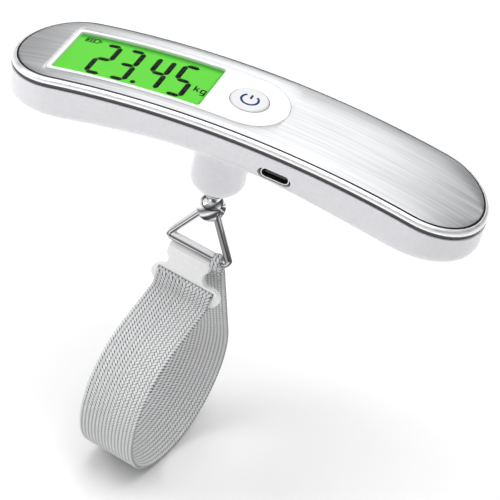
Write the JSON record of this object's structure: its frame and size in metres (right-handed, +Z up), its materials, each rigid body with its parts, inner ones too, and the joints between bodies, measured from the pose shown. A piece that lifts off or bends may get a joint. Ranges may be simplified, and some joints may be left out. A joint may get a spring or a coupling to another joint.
{
  "type": "digital luggage scale",
  "caption": "Arched handle with display, power button and charging port, swivelling eye, wire bail and webbing loop with clip, for weighing hung bags.",
  "frame": {"origin": "the point where the vertical load axis meets the top plate, at the hand's grip", "axes": "+X along the handle away from the display, +Z up, -Y towards the side with the charging port; the load hangs along -Z"},
  "size_m": [0.15, 0.0607, 0.1328],
  "materials": {
    "brushed_steel": "brushed along the handle",
    "polished_trim": "polished",
    "white_gloss": "gloss",
    "panel_white": "gloss",
    "clear_window": "clear",
    "lcd_green": "back-lit green",
    "light_guide": "diffusing",
    "board_green": "solder mask",
    "black_plastic": "moulded",
    "orange_plastic": "moulded",
    "rubber": "soft",
    "foam": "foam",
    "tape": "adhesive film",
    "pouch_foil": "foil",
    "gauge_film": "film",
    "zinc_steel": "zinc plated",
    "alloy": "machined",
    "chrome": "polished",
    "clip_white": "satin",
    "webbing": "woven"
  },
  "bodies": {
    "handle": {"top_plate": "brushed_steel", "plate_tape": "tape", "trim_ring": "polished_trim", "upper_frame": "white_gloss", "display_panel": "panel_white", "display_window": "clear_window", "lcd_glass": "lcd_green", "lcd_backlight": "light_guide", "zebra_strips": "rubber", "main_board": "board_green", "controller_chip": "black_plastic", "tact_switch": "black_plastic", "lower_shell": "white_gloss", "frame_screws": "zinc_steel", "battery": "pouch_foil", "battery_pad": "foam", "usb_board": "board_green", "usb_shell": "zinc_steel", "usb_tongue": "black_plastic", "load_cell": "alloy", "strain_gauges": "gauge_film", "load_cell_screws": "zinc_steel", "thrust_washer": "zinc_steel", "hub_bush": "zinc_steel"},
    "button": {"power_button": "panel_white", "switch_plunger": "orange_plastic"},
    "swivel": {"swivel_eye": "chrome", "retaining_nut": "zinc_steel"},
    "bail_ring": {"bail": "chrome"},
    "loop": {"clip": "clip_white", "strap": "webbing"}
  },
  "joints": [
    {"name": "button_press", "type": "slide", "parent": "handle", "child": "button", "axis": [0, 0, -1], "range_m": [0, 0.0004], "stiffness_N_per_m": 500, "springref_m": -0.0005},
    {"name": "eye_swivel", "type": "hinge", "parent": "handle", "child": "swivel", "pos_m": [0, 0, -0.0423], "axis": [0, 0, 1], "continuous": true},
    {"name": "bail_swing", "type": "hinge", "parent": "swivel", "child": "bail_ring", "pos_m": [0, 0, -0.04265], "axis": [0.9848, -0.1736, 0], "range_deg": [-38, 62]},
    {"name": "loop_swing", "type": "hinge", "parent": "bail_ring", "child": "loop", "pos_m": [-0.00056, -0.00317, -0.05781], "axis": [0.9848, -0.1736, 0], "range_deg": [-35, 35]}
  ]
}
